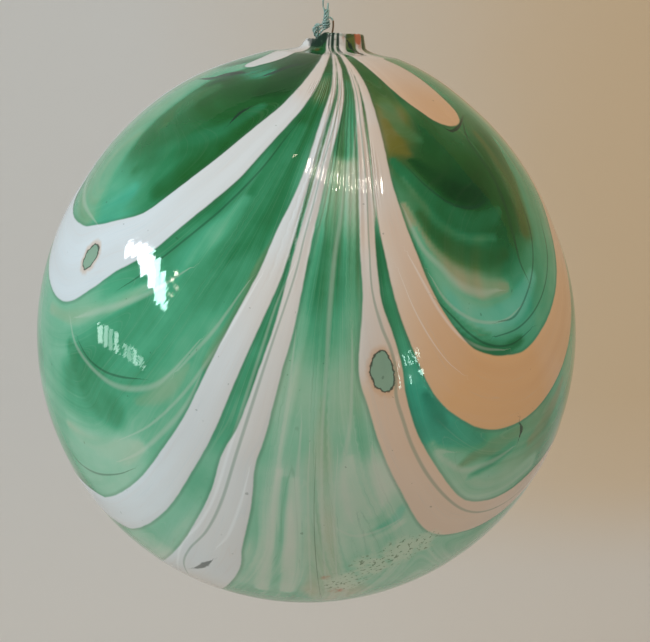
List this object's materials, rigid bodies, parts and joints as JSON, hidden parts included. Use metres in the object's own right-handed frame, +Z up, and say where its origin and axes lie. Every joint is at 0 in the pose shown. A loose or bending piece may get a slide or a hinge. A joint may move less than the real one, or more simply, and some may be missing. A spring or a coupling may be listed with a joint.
{
  "type": "hanging witch ball",
  "caption": "Hollow blown-glass ball with combed opal stripes and a short open neck, hung by a knotted nylon line with a loop.",
  "frame": {"origin": "the point of the loop's inner crown that a hook carries; the ball hangs below it", "axes": "+Z up, +X to the right of the side that the picture shows, which faces -Y; the neck's axis leans 5.5 degrees from +Z towards +X"},
  "size_m": [0.1399, 0.14, 0.1998],
  "materials": {
    "striped_glass": "green blown glass, clear to cloudy, with combed trails of white and cream opal glass, fire-polished",
    "nylon": "pale sea-green nylon line, translucent and a little glossy",
    "stained_nylon": "the same line, stained brown"
  },
  "bodies": {
    "root": {"glass_ball": "striped_glass", "toggle_knot": "nylon", "line_bight": "nylon", "thin_leg": "stained_nylon", "line_knot": "nylon", "tag_end": "nylon", "hanging_line": "nylon", "loop_knot": "nylon", "hanging_loop": "nylon"}
  },
  "joints": []
}
